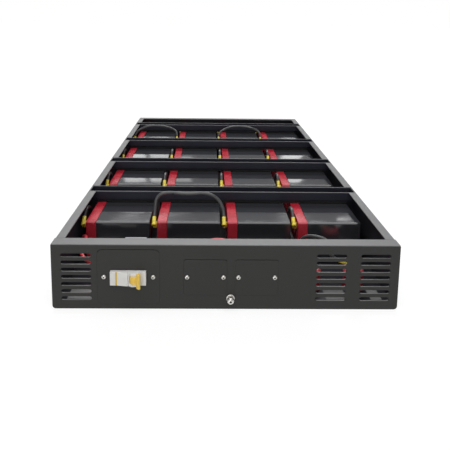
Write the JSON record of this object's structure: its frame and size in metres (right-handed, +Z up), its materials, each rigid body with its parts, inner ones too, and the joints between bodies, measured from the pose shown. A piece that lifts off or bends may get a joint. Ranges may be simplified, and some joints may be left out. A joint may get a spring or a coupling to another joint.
{
  "type": "ups battery module",
  "caption": "Open steel rack tray of sealed red-lidded batteries wired in series, with a vented front panel, breaker, hold-down bars and output posts.",
  "frame": {"origin": "middle of the tray's underside", "axes": "+X to the right seen from the front, +Y from the front panel to the rear wall, +Z up"},
  "size_m": [0.44, 0.758, 0.1048],
  "materials": {
    "chassis_paint": "fine satin powder coat, near black",
    "front_paint": "fine textured charcoal powder coat",
    "battery_black": "glossy moulded plastic",
    "battery_red": "glossy moulded plastic",
    "connector_yellow": "smooth insulated crimp",
    "lead_black": "smooth flexible jacket",
    "lead_red": "smooth flexible jacket",
    "breaker_white": "fine moulded grain",
    "toggle_amber": "smooth moulded plastic",
    "post_red": "moulded insulator",
    "nickel_steel": "bright nickel plate",
    "zinc_steel": "zinc plate",
    "tinned_brass": "tin plate",
    "foam": "closed-cell foam"
  },
  "bodies": {
    "chassis": {"tray": "chassis_paint", "front_panel": "front_paint", "breaker_plate": "front_paint", "cover_plate_left": "front_paint", "cover_plate_right": "front_paint", "plate_screws": "nickel_steel", "earth_terminal": "nickel_steel", "breaker_housing": "breaker_white", "breaker_rail": "zinc_steel", "post_insulator_positive": "post_red", "post_insulator_negative": "post_red", "post_hardware": "zinc_steel", "bar_pads": "foam", "bar_screws": "nickel_steel", "terminal_tabs": "tinned_brass", "crimp_connectors": "connector_yellow", "positive_lead": "lead_red", "breaker_lead": "lead_red", "front_arch_lead": "lead_black", "rear_arch_lead_left": "lead_black", "rear_arch_lead_right": "lead_black", "negative_lead": "lead_black", "column_links": "lead_black", "hold_down_bar_1": "chassis_paint", "battery_case_1_1": "battery_black", "battery_lid_1_1": "battery_red", "battery_case_1_2": "battery_black", "battery_lid_1_2": "battery_red", "battery_case_1_3": "battery_black", "battery_lid_1_3": "battery_red", "battery_case_1_4": "battery_black", "battery_lid_1_4": "battery_red", "hold_down_bar_2": "chassis_paint", "battery_case_2_1": "battery_black", "battery_lid_2_1": "battery_red", "battery_case_2_2": "battery_black", "battery_lid_2_2": "battery_red", "battery_case_2_3": "battery_black", "battery_lid_2_3": "battery_red", "battery_case_2_4": "battery_black", "battery_lid_2_4": "battery_red", "hold_down_bar_3": "chassis_paint", "battery_case_3_1": "battery_black", "battery_lid_3_1": "battery_red", "battery_case_3_2": "battery_black", "battery_lid_3_2": "battery_red", "battery_case_3_3": "battery_black", "battery_lid_3_3": "battery_red", "battery_case_3_4": "battery_black", "battery_lid_3_4": "battery_red", "hold_down_bar_4": "chassis_paint", "battery_case_4_1": "battery_black", "battery_lid_4_1": "battery_red", "battery_case_4_2": "battery_black", "battery_lid_4_2": "battery_red", "battery_case_4_3": "battery_black", "battery_lid_4_3": "battery_red", "battery_case_4_4": "battery_black", "battery_lid_4_4": "battery_red"},
    "toggle": {"breaker_toggle": "toggle_amber"}
  },
  "joints": [
    {"name": "toggle_turn", "type": "hinge", "parent": "chassis", "child": "toggle", "pos_m": [-0.1152, -0.3768, 0.043], "axis": [0, 0, 1], "range_deg": [-90, 0]}
  ]
}
